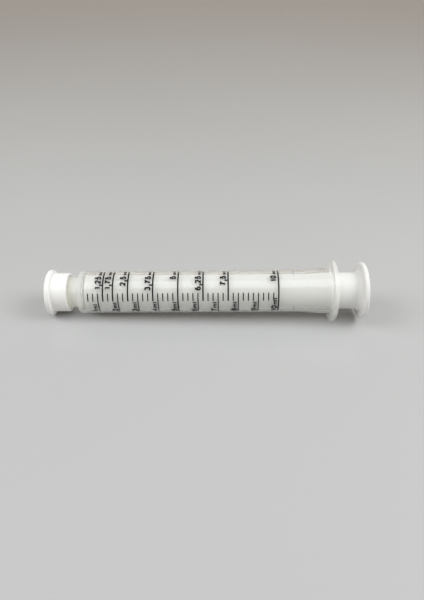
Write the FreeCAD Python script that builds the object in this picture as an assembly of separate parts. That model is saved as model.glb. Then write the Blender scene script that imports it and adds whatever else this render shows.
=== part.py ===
import FreeCAD, Part
import math
import os

# A 10 ml oral dosing syringe, lying on its side. All sizes are in millimetres.
#
# The syringe's axis is the X axis: the nose points to -X and the thumb disc to +X. X = 0 is the flat
# front of the barrel, where the neck stands out of it, and the origin is there, on the axis. The
# printed scales face the -Y side, turned up towards +Z. At rest the cap is on and the plunger is home.
#
# Every moulded piece is turned: its outline is a list of corners (x, r, rounding), r being the
# distance from the axis, and it is revolved about X.

# --- barrel -------------------------------------------------------------------------------------
BORE_R = 6.70
WALL = 1.00
BARREL_R = BORE_R + WALL
FRONT_WALL = 1.80               # thickness of the barrel's flat front
SHOULDER_ROUND = 0.90           # rounding between the front and the tube
FLARE_START_X = 80.05           # from here the tube widens towards the finger flange
FLARE_GROWTH = 0.80             # how much the radius grows along the flare
FLARE_ROUND = 25.0
FLANGE_FRONT_X = 90.45
FLANGE_THICKNESS = 1.80
FLANGE_R = 11.1
FLANGE_ROUND = 0.65
BEAD_X = 77.35                  # ring inside the bore that keeps the plunger in
BEAD_HEIGHT = 0.08
BEAD_WIDTH = 0.60

# --- neck and nose, which the cap covers --------------------------------------------------------
NECK_R = 5.525
COLLAR_R = 5.90                 # the collar that the cap's skirt grips
COLLAR_START_X = -3.10
COLLAR_END_X = -6.40
TIP_R = 3.10
TIP_END_R = 2.90
TIP_END_X = -9.05
CHANNEL_R = 1.00

# --- cap ----------------------------------------------------------------------------------------
CAP_SKIRT_R = 7.025
CAP_MOUTH_X = -3.65
CAP_DISC_R = 8.20
CAP_DISC_FRONT_X = -9.55
CAP_END_X = -11.35
CAP_FLOOR_X = -9.75             # inside of the closed end
CAP_CLEARANCE = 0.05
SPIGOT_LENGTH = 1.70            # plug that closes the tip's channel
SPIGOT_CLEARANCE = 0.05

# --- piston seal --------------------------------------------------------------------------------
SEAL_LIP_X = 2.75               # front edge of the front lip, where a dose is read
SEAL_NOSE_X = 2.40
SEAL_END_X = 7.35
SEAL_R = BORE_R - 0.02
SEAL_WAIST_R = 6.35
SEAL_FACE_R = 4.60              # the flat middle of its front
SEAL_SHOULDER_R = 6.20          # where its sloping front meets the lip
SEAL_LIP_LENGTH = 0.85
SEAL_LIP_SLOPE = 0.40

# --- plunger ------------------------------------------------------------------------------------
PLUNGER_R = 6.575
PLUNGER_WALL = 1.20
NOSE_NECK_R = 3.10              # the seal's groove
NOSE_HEAD_R = 4.30              # the knob that holds the seal
NOSE_HEAD_START_X = 4.25
NOSE_HEAD_END_X = 5.85
HOLLOW_END_X = 9.85             # closed end of the plunger's hollow
HOLLOW_DRAFT = 0.20
HOLLOW_END_ROUND = 0.80
THUMB_FRONT_X = 101.15
THUMB_THICKNESS = 1.76
THUMB_R = 10.25
THUMB_ROUND = 0.70
THUMB_FILLET = 2.0
MARK_X = (81.9, 83.7)           # two small dimples that the mould leaves in the plunger
MARK_ANGLE = 44.0               # degrees from the -Y side up to them
MARK_R = 0.50
MARK_DEPTH = 0.15

# --- roundings of moulded edges -----------------------------------------------------------------
FINE_ROUND = 0.15
SMALL_ROUND = 0.30
EDGE_ROUND = 0.40
DISC_ROUND = 0.60

# --- printed scales -----------------------------------------------------------------------------
ML_LENGTH = 1000.0 / (math.pi * BORE_R ** 2)    # length of bore that holds 1 ml
ZERO_X = 0.65                   # where 0 ml would be
TOTAL_ML = 10
SCALE_TURN = 35.0               # degrees from the -Y side up to the scales' middle line
INK_THICKNESS = 0.05
ML_LINE_WIDTH = 0.38
DOSE_LINE_WIDTH = 0.52
TICKS_PER_ML = 4
FIRST_TICK_ML = 0.5
TICK_ANGLES = (-26.5, -5.0)     # degrees from the middle line, positive towards +Z
ML_LINE_ANGLES = (-66.0, -5.0)
DOSE_LINE_ANGLES = (-26.5, 65.0)
LONG_LINE_ANGLES = (-66.0, 65.0)
DOSES_ML = (1.25, 1.75, 2.5, 3.75, 5, 6.25, 7.5, 10)
LONG_DOSES_ML = (5, 10)         # these lines belong to both scales and run across them

AXIS_POINT = FreeCAD.Vector(0, 0, 0)
AXIS = FreeCAD.Vector(1, 0, 0)


def corner_arc(before, corner, after, rounding):
    """The arc that rounds a corner, tangent to the two edges that meet there."""
    to_before = (before - corner).normalize()
    to_after = (after - corner).normalize()
    half_turn = to_before.getAngle(to_after) / 2
    inward = (to_before + to_after).normalize()
    reach = rounding / math.tan(half_turn)
    middle = corner + inward * (rounding / math.sin(half_turn) - rounding)
    return Part.Arc(corner + to_before * reach, middle, corner + to_after * reach)


def turned(corners):
    """Revolve a closed outline of corners (x, r, rounding) about the X axis."""
    points = [FreeCAD.Vector(x, 0, r) for x, r, rounding in corners]
    edges = []
    starts = []
    ends = []
    for index, (x, r, rounding) in enumerate(corners):
        point = points[index]
        if rounding == 0:
            starts.append(point)
            ends.append(point)
            continue
        arc = corner_arc(points[index - 1], point, points[(index + 1) % len(points)], rounding).toShape()
        edges.append(arc)
        starts.append(arc.firstVertex().Point)
        ends.append(arc.lastVertex().Point)
    for index, end in enumerate(ends):
        edges.append(Part.makeLine(end, starts[(index + 1) % len(starts)]))
    outline = Part.Wire(Part.__sortEdges__(edges))
    return Part.Face(outline).revolve(AXIS_POINT, AXIS, 360)


def barrel():
    """Tube with the neck, collar and tip in front, and the finger flange behind."""
    flange_back_x = FLANGE_FRONT_X + FLANGE_THICKNESS
    bead_start_x = BEAD_X - BEAD_WIDTH / 2
    bead_end_x = BEAD_X + BEAD_WIDTH / 2
    return turned([
        (TIP_END_X, CHANNEL_R, 0),
        (TIP_END_X, TIP_END_R, EDGE_ROUND),
        (COLLAR_END_X, TIP_R, SMALL_ROUND),
        (COLLAR_END_X, COLLAR_R, EDGE_ROUND),
        (COLLAR_START_X, COLLAR_R, FINE_ROUND),
        (COLLAR_START_X, NECK_R, 0),
        (0, NECK_R, SMALL_ROUND),
        (0, BARREL_R, SHOULDER_ROUND),
        (FLARE_START_X, BARREL_R, FLARE_ROUND),
        (FLANGE_FRONT_X, BARREL_R + FLARE_GROWTH, EDGE_ROUND),
        (FLANGE_FRONT_X, FLANGE_R, FLANGE_ROUND),
        (flange_back_x, FLANGE_R, FLANGE_ROUND),
        (flange_back_x, BORE_R + FLARE_GROWTH, EDGE_ROUND),
        (FLARE_START_X, BORE_R, 0),
        (bead_end_x, BORE_R, 0),
        (BEAD_X, BORE_R - BEAD_HEIGHT, 0),
        (bead_start_x, BORE_R, 0),
        (FRONT_WALL, BORE_R, SMALL_ROUND),
        (FRONT_WALL, CHANNEL_R, 0),
    ])


def mould_mark(x):
    """A ball that leaves a shallow dimple in the plunger's outside."""
    angle = math.radians(MARK_ANGLE)
    r = PLUNGER_R + MARK_R - MARK_DEPTH
    return Part.makeSphere(MARK_R, FreeCAD.Vector(x, -r * math.cos(angle), r * math.sin(angle)))


def plunger():
    """Hollow tube with a knob for the seal in front and the thumb disc behind."""
    thumb_back_x = THUMB_FRONT_X + THUMB_THICKNESS
    hollow_r = PLUNGER_R - PLUNGER_WALL
    tube = turned([
        (NOSE_HEAD_START_X, 0, 0),
        (NOSE_HEAD_START_X, NOSE_HEAD_R, EDGE_ROUND),
        (NOSE_HEAD_END_X, NOSE_HEAD_R, FINE_ROUND),
        (NOSE_HEAD_END_X, NOSE_NECK_R, 0),
        (SEAL_END_X, NOSE_NECK_R, 0),
        (SEAL_END_X, PLUNGER_R, SMALL_ROUND),
        (THUMB_FRONT_X, PLUNGER_R, THUMB_FILLET),
        (THUMB_FRONT_X, THUMB_R, THUMB_ROUND),
        (thumb_back_x, THUMB_R, THUMB_ROUND),
        (thumb_back_x, hollow_r, EDGE_ROUND),
        (HOLLOW_END_X, hollow_r - HOLLOW_DRAFT, HOLLOW_END_ROUND),
        (HOLLOW_END_X, 0, 0),
    ])
    return tube.cut([mould_mark(x) for x in MARK_X])


def piston_seal(plunger_shape):
    """Soft cup with two wiping lips, snapped over the plunger's knob."""
    front_lip_end_x = SEAL_LIP_X + SEAL_LIP_LENGTH
    back_lip_start_x = SEAL_END_X - SEAL_LIP_LENGTH - SEAL_LIP_SLOPE
    cup = turned([
        (SEAL_NOSE_X, 0, 0),
        (SEAL_NOSE_X, SEAL_FACE_R, DISC_ROUND),
        (SEAL_LIP_X, SEAL_SHOULDER_R, FINE_ROUND),
        (SEAL_LIP_X, SEAL_R, FINE_ROUND),
        (front_lip_end_x, SEAL_R, FINE_ROUND),
        (front_lip_end_x + SEAL_LIP_SLOPE, SEAL_WAIST_R, FINE_ROUND),
        (back_lip_start_x - SEAL_LIP_SLOPE, SEAL_WAIST_R, FINE_ROUND),
        (back_lip_start_x, SEAL_R, FINE_ROUND),
        (SEAL_END_X - SEAL_LIP_SLOPE, SEAL_R, FINE_ROUND),
        (SEAL_END_X, SEAL_WAIST_R, 0),
        (SEAL_END_X, 0, 0),
    ])
    return cup.cut(plunger_shape)


def tip_cap():
    """Push-on cap: a skirt round the collar, a disc to pull it by, and a spigot in the channel."""
    inside_r = COLLAR_R + CAP_CLEARANCE
    spigot_r = CHANNEL_R - SPIGOT_CLEARANCE
    spigot_end_x = CAP_FLOOR_X + SPIGOT_LENGTH
    return turned([
        (CAP_END_X, 0, 0),
        (CAP_END_X, CAP_DISC_R, DISC_ROUND),
        (CAP_DISC_FRONT_X, CAP_DISC_R, DISC_ROUND),
        (CAP_DISC_FRONT_X, CAP_SKIRT_R, SMALL_ROUND),
        (CAP_MOUTH_X, CAP_SKIRT_R, EDGE_ROUND),
        (CAP_MOUTH_X, inside_r, SMALL_ROUND),
        (CAP_FLOOR_X, inside_r, SMALL_ROUND),
        (CAP_FLOOR_X, spigot_r, 0),
        (spigot_end_x, spigot_r, SMALL_ROUND),
        (spigot_end_x, 0, 0),
    ])


def ink_line(millilitres, width, angles):
    """One printed line: a thin curved strip that lies round the barrel at a volume."""
    low, high = angles
    start_x = ZERO_X + millilitres * ML_LENGTH - width / 2
    strip = Part.makePolygon([
        FreeCAD.Vector(start_x, -BARREL_R, 0),
        FreeCAD.Vector(start_x + width, -BARREL_R, 0),
        FreeCAD.Vector(start_x + width, -BARREL_R - INK_THICKNESS, 0),
        FreeCAD.Vector(start_x, -BARREL_R - INK_THICKNESS, 0),
        FreeCAD.Vector(start_x, -BARREL_R, 0),
    ])
    section = Part.Face(strip)
    section.rotate(AXIS_POINT, AXIS, -(SCALE_TURN + low))
    return section.revolve(AXIS_POINT, AXIS, low - high)


def volume_scale():
    """A line at each millilitre and a short tick at each quarter, left out where a dose line is."""
    lines = []
    for step in range(int(FIRST_TICK_ML * TICKS_PER_ML), TOTAL_ML * TICKS_PER_ML):
        millilitres = step / TICKS_PER_ML
        if millilitres in DOSES_ML:
            continue
        angles = ML_LINE_ANGLES if step % TICKS_PER_ML == 0 else TICK_ANGLES
        lines.append(ink_line(millilitres, ML_LINE_WIDTH, angles))
    return Part.makeCompound(lines)


def dose_scale():
    """The bold line of each dose."""
    lines = []
    for millilitres in DOSES_ML:
        angles = LONG_LINE_ANGLES if millilitres in LONG_DOSES_ML else DOSE_LINE_ANGLES
        lines.append(ink_line(millilitres, DOSE_LINE_WIDTH, angles))
    return Part.makeCompound(lines)


plunger_shape = plunger()
nodes = {
    "barrel": barrel(),
    "plunger": plunger_shape,
    "piston_seal": piston_seal(plunger_shape),
    "tip_cap": tip_cap(),
    "volume_scale": volume_scale(),
    "dose_scale": dose_scale(),
}

os.makedirs("parts", exist_ok=True)
for name, shape in nodes.items():
    shape.exportStep("parts/" + name + ".step")
    box = shape.BoundBox
    print(name, "valid", shape.isValid(), "solids", len(shape.Solids), "volume %.2f" % shape.Volume,
          "x %.2f %.2f" % (box.XMin, box.XMax), "z %.2f %.2f" % (box.ZMin, box.ZMax))
print("the seal can slide %.2f back to the bead" % (BEAD_X - BEAD_WIDTH / 2 - SEAL_END_X))
print("one millilitre is %.3f long, 10 ml is at x %.2f" % (ML_LENGTH, ZERO_X + TOTAL_ML * ML_LENGTH))
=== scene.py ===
import math

import bmesh
import bpy
from mathutils import Matrix, Vector


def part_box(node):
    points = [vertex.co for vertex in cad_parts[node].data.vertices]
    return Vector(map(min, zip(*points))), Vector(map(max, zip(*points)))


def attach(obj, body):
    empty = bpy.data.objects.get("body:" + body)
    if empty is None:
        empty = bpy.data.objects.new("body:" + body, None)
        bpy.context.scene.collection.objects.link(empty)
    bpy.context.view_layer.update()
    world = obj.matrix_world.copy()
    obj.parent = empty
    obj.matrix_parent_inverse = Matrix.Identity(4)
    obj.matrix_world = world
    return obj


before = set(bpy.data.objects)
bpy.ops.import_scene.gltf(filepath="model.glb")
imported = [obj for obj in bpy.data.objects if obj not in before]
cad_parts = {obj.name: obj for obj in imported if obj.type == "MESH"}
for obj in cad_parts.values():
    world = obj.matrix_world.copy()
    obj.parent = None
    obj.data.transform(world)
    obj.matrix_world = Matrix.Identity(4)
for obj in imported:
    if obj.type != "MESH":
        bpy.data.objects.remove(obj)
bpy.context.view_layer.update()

# A 10 ml oral syringe lying on a pale glossy table. Everything is in metres, in the CAD frame: the
# syringe's axis is the X axis, its nose points to -X, and its printed scales face -Y, turned up.

MM = 0.001

# --- what the frame says -------------------------------------------------------------------------
barrel_low, barrel_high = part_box("barrel")
cap_low, cap_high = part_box("tip_cap")
dose_low, dose_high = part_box("dose_scale")


def radius(vertex):
    """A vertex's distance from the syringe's axis."""
    return math.hypot(vertex.co.y, vertex.co.z)


INK_THICKNESS = 0.05 * MM
INK_TOP_R = max(radius(v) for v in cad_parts["dose_scale"].data.vertices)
BARREL_R = INK_TOP_R - INK_THICKNESS

# --- printed numerals ----------------------------------------------------------------------------
SCALE_TURN = math.radians(35.0)         # from the -Y side up to the scales' middle line
DOSES_ML = (1.25, 1.75, 2.5, 3.75, 5, 6.25, 7.5, 10)
TOTAL_ML = 10
DOSE_LINE_WIDTH = 0.52 * MM
ML_LENGTH = (dose_high.x - dose_low.x - DOSE_LINE_WIDTH) / (DOSES_ML[-1] - DOSES_ML[0])
ARC_STEP = math.radians(15)
SAME_POINT = 1e-9                       # a stroke whose ends are nearer than this is closed
LEAST_LEAN = 0.5                        # keeps a sharp corner from reaching out too far


def x_at(millilitres):
    """Where a volume is along the axis."""
    return dose_low.x + DOSE_LINE_WIDTH / 2 + (millilitres - DOSES_ML[0]) * ML_LENGTH


def bend(x, y, rx, ry, start, end):
    """Points along an arc of an ellipse round (x, y), from one angle to another in degrees."""
    start, end = math.radians(start), math.radians(end)
    steps = max(2, round(abs(end - start) / ARC_STEP))
    angles = [start + (end - start) * step / steps for step in range(steps + 1)]
    return [(x + rx * math.cos(angle), y + ry * math.sin(angle)) for angle in angles]


def turned_round(strokes):
    """The same strokes turned half round in the unit box: a 6 becomes a 9."""
    return [[(1 - x, 1 - y) for x, y in stroke] for stroke in strokes]


# Each glyph is its width in capital heights and the middle lines of its strokes, drawn in a box from
# (0, 0) to (1, 1) that is as wide as the glyph and as tall as a capital.
SIX = [bend(0.5, 0.31, 0.5, 0.31, 0, 360), bend(0.62, 0.36, 0.62, 0.64, 180, 72)]
X_HEIGHT = 0.70
GLYPHS = {
    "0": (0.68, [bend(0.5, 0.5, 0.5, 0.5, 0, 360)]),
    "1": (0.42, [[(0.0, 0.76), (0.5, 0.84), (0.85, 1.0)], [(0.85, 1.0), (0.85, 0.0)]]),
    "2": (0.66, [bend(0.5, 0.71, 0.48, 0.29, 170, -25) + [(0.55, 0.28), (0.02, 0.0), (1.0, 0.0)]]),
    "3": (0.68, [bend(0.48, 0.76, 0.42, 0.24, 160, -90), bend(0.48, 0.26, 0.52, 0.26, 90, -160)]),
    "4": (0.70, [[(1.0, 0.25), (0.0, 0.25), (0.74, 1.0), (0.74, 0.0)]]),
    "5": (0.68, [[(0.92, 1.0), (0.2, 1.0), (0.08, 0.52)] + bend(0.47, 0.32, 0.53, 0.32, 135, -160)]),
    "6": (0.68, SIX),
    "7": (0.66, [[(0.0, 1.0), (1.0, 1.0)] + bend(1.0, 0.0, 0.68, 0.86, 105, 180)]),
    "8": (0.68, [bend(0.5, 0.77, 0.40, 0.23, 0, 360), bend(0.5, 0.27, 0.5, 0.27, 0, 360)]),
    "9": (0.68, turned_round(SIX)),
    ",": (0.26, [[(0.9, 0.2), (0.1, -0.5)]]),
    "m": (1.10, [[(0.0, X_HEIGHT), (0.0, 0.0)]]
          + [bend(x + 0.25, 0.45, 0.25, X_HEIGHT - 0.45, 180, 0) + [(x + 0.5, 0.0)] for x in (0.0, 0.5)]),
    "l": (0.12, [[(0.5, 1.0), (0.5, 0.0)]]),
}


def ribbon(points, width):
    """The two edges of a stroke: pairs of points half the width each side of its middle line."""
    closed = (points[0] - points[-1]).length < SAME_POINT
    pairs = []
    for index, point in enumerate(points):
        before = (point - points[index - 1]).normalized() if index > 0 else None
        after = (points[index + 1] - point).normalized() if index < len(points) - 1 else None
        if before is None:
            before = (point - points[-2]).normalized() if closed else after
        if after is None:
            after = (points[1] - point).normalized() if closed else before
        side = Vector((-before.y - after.y, before.x + after.x)).normalized()
        lean = max(LEAST_LEAN, side.dot(Vector((-before.y, before.x))))
        reach = side * (width / 2 / lean)
        pairs.append((point + reach, point - reach))
    return pairs


def on_barrel(point, baseline_x, start_angle, r):
    """A flat text's point laid on the barrel: it reads upwards round it and its tops point to the nose."""
    angle = SCALE_TURN + start_angle + point.x / BARREL_R
    return Vector((baseline_x - point.y, -r * math.cos(angle), r * math.sin(angle)))


def print_stroke(shape, points, width, baseline_x, start_angle):
    """One stroke of ink on the barrel, a closed strip with the ink's thickness."""
    rings = []
    for left, right in ribbon(points, width):
        corners = ((left, BARREL_R), (right, BARREL_R), (right, INK_TOP_R), (left, INK_TOP_R))
        rings.append([shape.verts.new(on_barrel(p, baseline_x, start_angle, r)) for p, r in corners])
    for ring, following in zip(rings, rings[1:]):
        for index in range(4):
            after = (index + 1) % 4
            shape.faces.new((ring[index], ring[after], following[after], following[index]))
    shape.faces.new(rings[0])
    shape.faces.new(reversed(rings[-1]))


def print_text(shape, text, height, weight, spacing, baseline_x, start_angle, widen=1.0):
    """Print a text and return its length. The strokes' weight and the spacing are in capital heights."""
    across = 0.0
    for character in text:
        width, strokes = GLYPHS[character]
        width *= widen
        for stroke in strokes:
            inner = Vector((max(0.0, width - weight), 1 - weight))
            offset = Vector((across + weight / 2, weight / 2))
            points = [(offset + Vector((x * inner.x, y * inner.y))) * height for x, y in stroke]
            print_stroke(shape, points, weight * height, baseline_x, start_angle)
        across += width + spacing
    return (across - spacing) * height


def text_length(text, height, spacing):
    """The length that print_text takes for a text that isn't widened."""
    return (sum(GLYPHS[c][0] for c in text) + spacing * (len(text) - 1)) * height


def add_piece(name, shape, body, material):
    """Make an object of a bmesh shape, riding on a body."""
    bmesh.ops.recalc_face_normals(shape, faces=shape.faces)
    mesh = bpy.data.meshes.new(name)
    shape.to_mesh(mesh)
    shape.free()
    mesh.materials.append(material)
    piece = bpy.data.objects.new(name, mesh)
    bpy.context.scene.collection.objects.link(piece)
    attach(piece, body)


# --- materials -----------------------------------------------------------------------------------
NOISE_LOW, NOISE_HIGH = 0.3, 0.7        # the middle range of a noise's values
PATCHES = 90                            # blobs of noise per metre: uneven colour,
GLOSS_PATCHES = 420                     # uneven gloss
GRAIN = 2600                            # and the satin grain of moulded plastic
BARREL_PATCHES = 120
BARREL_GLOSS_PATCHES = 500
BARREL_WAVES = 350
TABLE_PATCHES = 6
TABLE_GLOSS_PATCHES = 300

# How clear the barrel is along the axis: milky at the neck and the front wall, clear along the tube, and
# milkier again at the flange.
BARREL_CLARITY = ((-2 * MM, 0.45), (0, 0.40), (1.6 * MM, 0.50), (2.4 * MM, 0.89),
                  (barrel_high.x - 2.6 * MM, 0.89), (barrel_high.x - 1.4 * MM, 0.62))
# How yellow it is: full at the front of the neck, and none behind the front wall.
NECK_TINT = ((-3.6 * MM, 1.0), (-1.5 * MM, 0.25), (0.5 * MM, 0.0))
MILKY_LIGHT = (0.970, 0.980, 0.966, 1)
MILKY_DARK = (0.954, 0.965, 0.948, 1)
NECK_YELLOW = (0.955, 0.965, 0.86, 1)
CLEAR = (0.935, 0.935, 0.93, 1)


def new_material(name, **sockets):
    """A material with one Principled shader, its sockets set by name."""
    material = bpy.data.materials.new(name)
    material.use_nodes = True
    shader = material.node_tree.nodes["Principled BSDF"]
    for socket, value in sockets.items():
        shader.inputs[socket.replace("_", " ")].default_value = value
    return material, material.node_tree, shader


def noise(tree, scale, detail):
    """Noise over the object's own coordinates, scale being its blobs per metre."""
    place = tree.nodes.new("ShaderNodeTexCoord")
    texture = tree.nodes.new("ShaderNodeTexNoise")
    texture.inputs["Scale"].default_value = scale
    texture.inputs["Detail"].default_value = detail
    tree.links.new(place.outputs["Object"], texture.inputs["Vector"])
    return texture.outputs["Fac"]


def spread(tree, value, low, high):
    """Map a noise's middle range to low..high."""
    ramp = tree.nodes.new("ShaderNodeMapRange")
    ramp.inputs["From Min"].default_value = NOISE_LOW
    ramp.inputs["From Max"].default_value = NOISE_HIGH
    ramp.inputs["To Min"].default_value = low
    ramp.inputs["To Max"].default_value = high
    tree.links.new(value, ramp.inputs["Value"])
    return ramp.outputs["Result"]


def mix_colours(tree, value, low, high):
    """Mix two colours by a value from 0 to 1. Each is a colour or a node's output."""
    mix = tree.nodes.new("ShaderNodeMix")
    mix.data_type = "RGBA"
    tree.links.new(value, mix.inputs["Factor"])
    for name, colour in (("A", low), ("B", high)):
        socket = next(i for i in mix.inputs if i.name == name and i.type == "RGBA")
        if isinstance(colour, tuple):
            socket.default_value = colour
        else:
            tree.links.new(colour, socket)
    return next(o for o in mix.outputs if o.type == "RGBA")


def bump(tree, shader, value, distance):
    """Raise a shader's surface by a value from 0 to 1, times a distance."""
    node = tree.nodes.new("ShaderNodeBump")
    node.inputs["Strength"].default_value = 1.0
    node.inputs["Distance"].default_value = distance
    tree.links.new(value, node.inputs["Height"])
    tree.links.new(node.outputs["Normal"], shader.inputs["Normal"])


def moulded_plastic(name, light, dark, rough, bump_height, **sockets):
    """Moulded plastic or ink: slightly uneven in colour and gloss, with a fine grain."""
    material, tree, shader = new_material(name, **sockets)
    patches = spread(tree, noise(tree, PATCHES, 2.0), 0, 1)
    tree.links.new(mix_colours(tree, patches, light, dark), shader.inputs["Base Color"])
    tree.links.new(spread(tree, noise(tree, GLOSS_PATCHES, 4.0), *rough), shader.inputs["Roughness"])
    bump(tree, shader, noise(tree, GRAIN, 3.0), bump_height)
    return material


def along_axis(tree, stops):
    """A value that changes along the syringe's axis. Its stops are (x, value), from the nose back."""
    place = tree.nodes.new("ShaderNodeTexCoord")
    parts = tree.nodes.new("ShaderNodeSeparateXYZ")
    tree.links.new(place.outputs["Object"], parts.inputs["Vector"])
    value = None
    for (start_x, start), (end_x, end) in zip(stops, stops[1:]):
        ramp = tree.nodes.new("ShaderNodeMapRange")
        ramp.inputs["From Min"].default_value = start_x
        ramp.inputs["From Max"].default_value = end_x
        ramp.inputs["To Min"].default_value = start if value is None else 0.0
        ramp.inputs["To Max"].default_value = end if value is None else end - start
        tree.links.new(parts.outputs["X"], ramp.inputs["Value"])
        if value is None:
            value = ramp.outputs["Result"]
            continue
        total = tree.nodes.new("ShaderNodeMath")
        total.operation = "ADD"
        tree.links.new(value, total.inputs[0])
        tree.links.new(ramp.outputs["Result"], total.inputs[1])
        value = total.outputs["Value"]
    return value


def clear_barrel_plastic():
    """Natural polypropylene, clear with a haze. Light from the lamps and light that other surfaces scatter
    goes straight through it, so that the plunger inside is lit."""
    material, tree, shader = new_material("natural_polypropylene", IOR=1.49, Specular_IOR_Level=0.05)
    tree.links.new(along_axis(tree, BARREL_CLARITY), shader.inputs["Transmission Weight"])
    patches = spread(tree, noise(tree, BARREL_PATCHES, 2.0), 0, 1)
    milky = mix_colours(tree, patches, MILKY_LIGHT, MILKY_DARK)
    colour = mix_colours(tree, along_axis(tree, NECK_TINT), milky, NECK_YELLOW)
    tree.links.new(colour, shader.inputs["Base Color"])
    gloss = spread(tree, noise(tree, BARREL_GLOSS_PATCHES, 4.0), 0.12, 0.15)
    tree.links.new(gloss, shader.inputs["Roughness"])
    bump(tree, shader, noise(tree, BARREL_WAVES, 2.0), 0.0004 * MM)
    clear = tree.nodes.new("ShaderNodeBsdfTransparent")
    clear.inputs["Color"].default_value = CLEAR
    path = tree.nodes.new("ShaderNodeLightPath")
    surface = shader.outputs["BSDF"]
    for ray in ("Is Shadow Ray", "Is Diffuse Ray"):
        mix = tree.nodes.new("ShaderNodeMixShader")
        tree.links.new(path.outputs[ray], mix.inputs["Fac"])
        tree.links.new(surface, mix.inputs[1])
        tree.links.new(clear.outputs["BSDF"], mix.inputs[2])
        surface = mix.outputs["Shader"]
    tree.links.new(surface, tree.nodes["Material Output"].inputs["Surface"])
    return material


def dress(node, material):
    """Give a CAD node its material."""
    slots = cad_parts[node].data.materials
    slots.clear()
    slots.append(material)


ink = moulded_plastic(
    "black_ink", light=(0.006, 0.006, 0.007, 1), dark=(0.014, 0.014, 0.014, 1),
    rough=(0.38, 0.5), bump_height=0.002 * MM, Specular_IOR_Level=0.15)
white_plunger = moulded_plastic(
    "white_plunger", light=(0.82, 0.825, 0.818, 1), dark=(0.80, 0.805, 0.795, 1),
    rough=(0.32, 0.40), bump_height=0.003 * MM, Specular_IOR_Level=0.25,
    Subsurface_Weight=0.35, Subsurface_Radius=(1.2 * MM, 1.2 * MM, 1.1 * MM), Subsurface_Scale=1.0)
white_cap = moulded_plastic(
    "white_cap", light=(0.93, 0.935, 0.932, 1), dark=(0.91, 0.915, 0.908, 1),
    rough=(0.30, 0.38), bump_height=0.003 * MM,
    Subsurface_Weight=0.4, Subsurface_Radius=(1.2 * MM, 1.2 * MM, 1.1 * MM), Subsurface_Scale=1.0)
white_seal = moulded_plastic(
    "white_seal", light=(0.86, 0.865, 0.85, 1), dark=(0.83, 0.835, 0.82, 1),
    rough=(0.40, 0.5), bump_height=0.004 * MM,
    Subsurface_Weight=0.3, Subsurface_Radius=(1.0 * MM, 1.0 * MM, 0.9 * MM), Subsurface_Scale=1.0)

dress("barrel", clear_barrel_plastic())
dress("plunger", white_plunger)
dress("piston_seal", white_seal)
dress("tip_cap", white_cap)
dress("volume_scale", ink)
dress("dose_scale", ink)

# --- numerals ------------------------------------------------------------------------------------
# Weights and spacings are in heights of the same text's capitals.
DOSE_HEIGHT = 2.25 * MM
DOSE_WEIGHT = 0.25
DOSE_SPACING = 0.10
UNIT_HEIGHT = 1.42 * MM
UNIT_WEIGHT = 0.27
UNIT_SPACING = 0.26
UNIT_GAP = 0.62 * MM
DOSE_END = math.radians(65.0)
DOSE_BASELINE = 0.68 * MM               # before the line's middle
VOLUME_HEIGHT = 2.2 * MM
VOLUME_WEIGHT = 0.26
VOLUME_SPACING = 0.12
VOLUME_WIDEN = 1.3                      # the millilitre figures are drawn this much wider
VOLUME_UNIT_HEIGHT = 1.75 * MM
VOLUME_UNIT_WEIGHT = 0.23
VOLUME_UNIT_SPACING = 0.17
VOLUME_UNIT_GAP = 0.34 * MM
VOLUME_START = math.radians(-66.5)
VOLUME_BASELINE = 0.36 * MM             # before the line's middle too


def dose_numerals():
    """Print the bold dose figures with their small unit, all ending at the same angle."""
    shape = bmesh.new()
    unit_length = text_length("ml", UNIT_HEIGHT, UNIT_SPACING)
    for dose in DOSES_ML:
        digits = ("%g" % dose).replace(".", ",")
        length = text_length(digits, DOSE_HEIGHT, DOSE_SPACING) + UNIT_GAP + unit_length
        start = DOSE_END - length / BARREL_R
        baseline_x = x_at(dose) - DOSE_BASELINE
        print_text(shape, digits, DOSE_HEIGHT, DOSE_WEIGHT, DOSE_SPACING, baseline_x, start)
        unit_start = DOSE_END - unit_length / BARREL_R
        print_text(shape, "ml", UNIT_HEIGHT, UNIT_WEIGHT, UNIT_SPACING, baseline_x, unit_start)
    add_piece("dose_numerals", shape, "barrel", ink)


def volume_numerals():
    """Print each millilitre's figure with its smaller unit, all starting at the same angle."""
    shape = bmesh.new()
    for millilitres in range(1, TOTAL_ML + 1):
        baseline_x = x_at(millilitres) - VOLUME_BASELINE
        length = print_text(shape, "%d" % millilitres, VOLUME_HEIGHT, VOLUME_WEIGHT, VOLUME_SPACING,
                            baseline_x, VOLUME_START, VOLUME_WIDEN)
        print_text(shape, "ml", VOLUME_UNIT_HEIGHT, VOLUME_UNIT_WEIGHT, VOLUME_UNIT_SPACING,
                   baseline_x, VOLUME_START + (length + VOLUME_UNIT_GAP) / BARREL_R)
    add_piece("volume_numerals", shape, "barrel", ink)


dose_numerals()
volume_numerals()

# --- table, light and camera ---------------------------------------------------------------------
# The syringe lies on the edges of its cap's disc and its finger flange.
DISC_HALF_THICKNESS = 0.9 * MM
TABLE_GAP = 0.02 * MM                   # between the syringe's feet and the table
TABLE_HALF = 4.0
cap_foot = Vector((cap_low.x + DISC_HALF_THICKNESS, 0, cap_low.z))
flange_foot = Vector((barrel_high.x - DISC_HALF_THICKNESS, 0, barrel_low.z))
along_table = (flange_foot - cap_foot).normalized()
table_up = Vector((-along_table.z, 0, along_table.x))
table_side = table_up.cross(along_table)
middle = Vector(((barrel_low.x + barrel_high.x) / 2, 0, 0))


def table_frame(origin):
    """The table's own axes from a point, as a matrix: along the syringe, across it and up."""
    axes = Matrix((along_table, table_side, table_up)).transposed()
    return Matrix.Translation(origin) @ axes.to_4x4()


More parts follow.
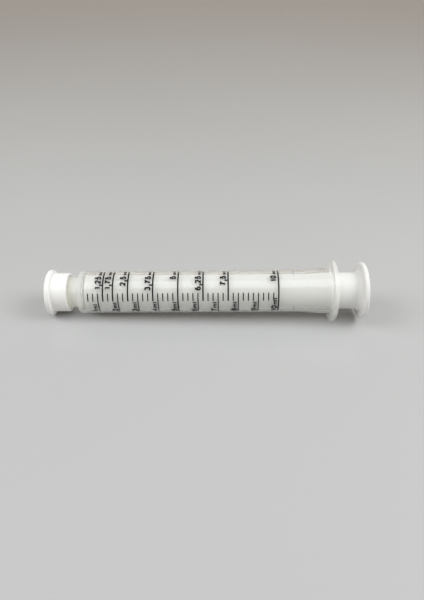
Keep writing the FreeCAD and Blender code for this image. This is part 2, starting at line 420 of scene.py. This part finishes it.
def table():
    """A pale glossy table top, which is scenery."""
    mesh = bpy.data.meshes.new("table")
    corners = [(x * TABLE_HALF, y * TABLE_HALF, 0) for x, y in ((-1, -1), (1, -1), (1, 1), (-1, 1))]
    mesh.from_pydata(corners, [], [(0, 1, 2, 3)])
    top = bpy.data.objects.new("table", mesh)
    bpy.context.scene.collection.objects.link(top)
    top.matrix_world = table_frame(cap_foot - table_up * TABLE_GAP)
    material, tree, shader = new_material("glossy_table", IOR=1.5)
    patches = spread(tree, noise(tree, TABLE_PATCHES, 2.0), 0, 1)
    colour = mix_colours(tree, patches, (0.512, 0.521, 0.523, 1), (0.502, 0.511, 0.513, 1))
    tree.links.new(colour, shader.inputs["Base Color"])
    gloss = spread(tree, noise(tree, TABLE_GLOSS_PATCHES, 3.0), 0.17, 0.22)
    tree.links.new(gloss, shader.inputs["Roughness"])
    mesh.materials.append(material)


def soft_light(name, place, target, size, watts, colour, mirrored=True):
    """A soft box. Its place and target are in metres from the barrel's middle, in the table's own axes:
    along the syringe, away from the camera, and up. Glossy surfaces show it if it is mirrored."""
    lamp = bpy.data.lights.new(name, "AREA")
    lamp.shape = "RECTANGLE"
    lamp.size, lamp.size_y = size
    lamp.energy = watts
    lamp.color = colour
    holder = bpy.data.objects.new(name, lamp)
    bpy.context.scene.collection.objects.link(holder)
    holder.visible_glossy = mirrored
    away = (Vector(place) - Vector(target)).normalized()
    turn = away.to_track_quat("Z", "Y").to_matrix().to_4x4()
    holder.matrix_world = table_frame(middle) @ Matrix.Translation(place) @ turn


LOW_IN_FRONT = (0.38, 0.32, 0.25, 1)
LOW_BEHIND = (0.62, 0.54, 0.47, 1)
OVERHEAD = (0.10, 0.11, 0.12, 1)


def studio_world():
    """A dim room round the lamps: warm low down, palest behind the syringe, and darker and cool overhead."""
    world = bpy.data.worlds.new("studio")
    bpy.context.scene.world = world
    world.use_nodes = True
    tree = world.node_tree
    direction = tree.nodes.new("ShaderNodeTexCoord")
    parts = tree.nodes.new("ShaderNodeSeparateXYZ")
    tree.links.new(direction.outputs["Generated"], parts.inputs["Vector"])
    behind = tree.nodes.new("ShaderNodeMapRange")
    behind.inputs["From Min"].default_value = -1.0
    tree.links.new(parts.outputs["Y"], behind.inputs["Value"])
    low = mix_colours(tree, behind.outputs["Result"], LOW_IN_FRONT, LOW_BEHIND)
    colour = mix_colours(tree, parts.outputs["Z"], low, OVERHEAD)
    tree.links.new(colour, tree.nodes["Background"].inputs["Color"])


def lights():
    """A large key above and a little in front, a weak one behind it, and a side lamp at each end."""
    soft_light("front_key", place=(0, -0.27, 0.92), target=(0, 0, 0),
               size=(1.55, 0.70), watts=4.3, colour=(0.97, 1.0, 1.0))
    soft_light("ceiling", place=(0.22, 0.32, 0.60), target=(0.15, 0.22, 0),
               size=(0.80, 0.50), watts=0.62, colour=(1.0, 0.99, 0.97), mirrored=False)
    soft_light("left_side", place=(-0.40, -0.105, 0.39), target=(0, 0, 0),
               size=(0.36, 0.30), watts=1.35, colour=(1.0, 1.0, 1.0))
    soft_light("right_side", place=(0.40, -0.105, 0.39), target=(0, 0, 0),
               size=(0.36, 0.30), watts=1.6, colour=(1.0, 1.0, 1.0))
    studio_world()
    bpy.context.scene.view_settings.view_transform = "Standard"


CAMERA_DISTANCE = 193.7 * MM
CAMERA_RISE = math.radians(35.5)        # above the plane that the syringe's axis and Y lie in
CAMERA_TURN = 0.0188                    # the thumb end is nearer by this share
CAMERA_ROLL = 0.0057
AIM_X = 48.01 * MM
AIM_DROP = 3.2 * MM
LENS = 31.8                             # focal length and sensor width are in millimetres
SENSOR = 36.0
CLIP_START = 5 * MM


def camera():
    """The camera, in front of the syringe and above it, where the printed scales face."""
    data = bpy.data.cameras.new("camera")
    data.lens = LENS
    data.sensor_width = SENSOR
    data.sensor_fit = "AUTO"
    data.clip_start = CLIP_START
    holder = bpy.data.objects.new("camera", data)
    bpy.context.scene.collection.objects.link(holder)
    level = math.sqrt(1 - CAMERA_TURN ** 2)
    back = Vector((CAMERA_TURN, -math.cos(CAMERA_RISE) * level, math.sin(CAMERA_RISE) * level))
    right = (Vector((1, 0, 0)) - back * back.x).normalized()
    up = back.cross(right)
    right, up = (right * math.cos(CAMERA_ROLL) - up * math.sin(CAMERA_ROLL),
                 up * math.cos(CAMERA_ROLL) + right * math.sin(CAMERA_ROLL))
    aim = Vector((AIM_X, 0, 0)) - up * AIM_DROP
    axes = Matrix((right, up, back)).transposed().to_4x4()
    holder.matrix_world = Matrix.Translation(aim + back * CAMERA_DISTANCE) @ axes
    bpy.context.scene.camera = holder


table()
lights()
camera()
